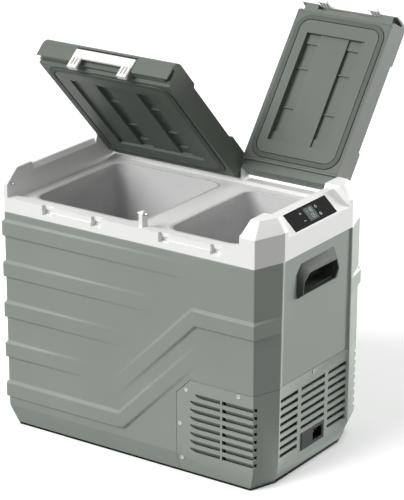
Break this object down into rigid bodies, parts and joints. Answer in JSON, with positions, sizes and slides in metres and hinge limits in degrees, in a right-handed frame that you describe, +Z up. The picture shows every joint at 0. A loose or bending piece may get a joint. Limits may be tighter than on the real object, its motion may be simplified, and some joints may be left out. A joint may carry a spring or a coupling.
{
  "type": "compressor cooler fridge",
  "caption": "Compressor cooler fridge with a wide and a narrow top lid on rear hinge pins, latch bars, deep and shallow compartments, end grips, display and vented machine bay.",
  "frame": {"origin": "middle of the flat base that the body stands on", "axes": "+X along the body towards the display end, -Y the front with the latches, +Z up"},
  "size_m": [0.6068, 0.5685, 0.7841],
  "materials": {
    "outer_shell": "Grey-green moulded shell with the ribs, bands, end panels and the seats of the vent cover",
    "vent_cover": "Ventilated cover that wraps the right end of the shell",
    "cover_screws": "Screws of the vent cover",
    "base_pad": "Dark pad that the body stands on",
    "top_collar": "White collar with sealing ledge, cheeks, hinge posts and keeper notches",
    "left_liner": "Liner of the deep compartment",
    "right_liner": "Liner of the shallow compartment over the machine bay",
    "insulation": "Foam between the shell and the liners",
    "evaporator": "Cooling tube round the deep liner with its two pipes",
    "hinge_pins": "Rear pins in the posts and cheeks, on which the lids turn",
    "locating_pins": "Front pins that locate the closed lids",
    "left_grip": "Hooded grip cup in the left end",
    "right_grip": "Hooded grip cup in the right end",
    "display_plate": "Black film plate of the display",
    "lcd_window": "Window of the readout",
    "display_board": "Circuit board under the display plate",
    "inlet_plate": "Black plate of the power inlet",
    "power_socket": "Recessed power socket",
    "socket_contacts": "Contact pins of the power socket",
    "machine_tray": "Sheet tray on the floor of the machine bay",
    "compressor": "Sealed compressor",
    "compressor_bushes": "Rubber bushes under the compressor",
    "condenser_fins": "Fins and end plates of the condenser",
    "condenser_tube": "Tube of the condenser",
    "fan_frame": "Frame of the cooling fan",
    "fan_rotor": "Rotor of the cooling fan",
    "control_board": "Board that drives the compressor",
    "board_standoffs": "Standoffs of that board",
    "filter_drier": "Filter drier between condenser and evaporator",
    "left_lid_shell": "Outer shell of the wide left lid",
    "left_lid_liner": "Inner liner of the wide left lid with its stepped recess",
    "left_lid_foam": "Foam inside the wide left lid",
    "left_gasket": "Door seal of the wide left lid",
    "left_latch": "Latch bar with two claws at the front of the wide left lid",
    "left_latch_pin": "Pin that the latch bar turns on",
    "right_lid_shell": "Outer shell of the narrow right lid",
    "right_lid_liner": "Inner liner of the narrow right lid with its stepped recess",
    "right_lid_foam": "Foam inside the narrow right lid",
    "right_gasket": "Door seal of the narrow right lid",
    "right_latch": "Latch bar with two claws at the front of the narrow right lid",
    "right_latch_pin": "Pin that the latch bar turns on"
  },
  "bodies": {
    "cabinet": {"outer_shell": "outer_shell", "vent_cover": "vent_cover", "cover_screws": "cover_screws", "base_pad": "base_pad", "top_collar": "top_collar", "left_liner": "left_liner", "right_liner": "right_liner", "insulation": "insulation", "evaporator": "evaporator", "hinge_pins": "hinge_pins", "locating_pins": "locating_pins", "left_grip": "left_grip", "right_grip": "right_grip", "display_plate": "display_plate", "lcd_window": "lcd_window", "display_board": "display_board", "inlet_plate": "inlet_plate", "power_socket": "power_socket", "socket_contacts": "socket_contacts", "machine_tray": "machine_tray", "compressor": "compressor", "compressor_bushes": "compressor_bushes", "condenser_fins": "condenser_fins", "condenser_tube": "condenser_tube", "fan_frame": "fan_frame", "control_board": "control_board", "board_standoffs": "board_standoffs", "filter_drier": "filter_drier"},
    "left_lid": {"left_lid_shell": "left_lid_shell", "left_lid_liner": "left_lid_liner", "left_lid_foam": "left_lid_foam", "left_gasket": "left_gasket", "left_latch_pin": "left_latch_pin"},
    "right_lid": {"right_lid_shell": "right_lid_shell", "right_lid_liner": "right_lid_liner", "right_lid_foam": "right_lid_foam", "right_gasket": "right_gasket", "right_latch_pin": "right_latch_pin"},
    "left_latch": {"left_latch": "left_latch"},
    "right_latch": {"right_latch": "right_latch"},
    "fan_rotor": {"fan_rotor": "fan_rotor"}
  },
  "joints": [
    {"name": "left_lid_hinge", "type": "hinge", "parent": "cabinet", "child": "left_lid", "pos_m": [0, 0.167, 0.486], "axis": [-1, 0, 0], "range_deg": [-46, 81.5]},
    {"name": "right_lid_hinge", "type": "hinge", "parent": "cabinet", "child": "right_lid", "pos_m": [0, 0.167, 0.486], "axis": [-1, 0, 0], "range_deg": [-127.5, 0]},
    {"name": "left_latch_pivot", "type": "hinge", "parent": "left_lid", "child": "left_latch", "pos_m": [-0.122, -0.06637, 0.72982], "axis": [-1, 0, 0], "range_deg": [-6, 30]},
    {"name": "right_latch_pivot", "type": "hinge", "parent": "right_lid", "child": "right_latch", "pos_m": [0.13975, 0.37365, 0.75284], "axis": [-1, 0, 0], "range_deg": [-6, 30]},
    {"name": "fan_spin", "type": "hinge", "parent": "cabinet", "child": "fan_rotor", "pos_m": [0.193, -0.122, 0.099], "axis": [0, 1, 0], "continuous": true}
  ]
}
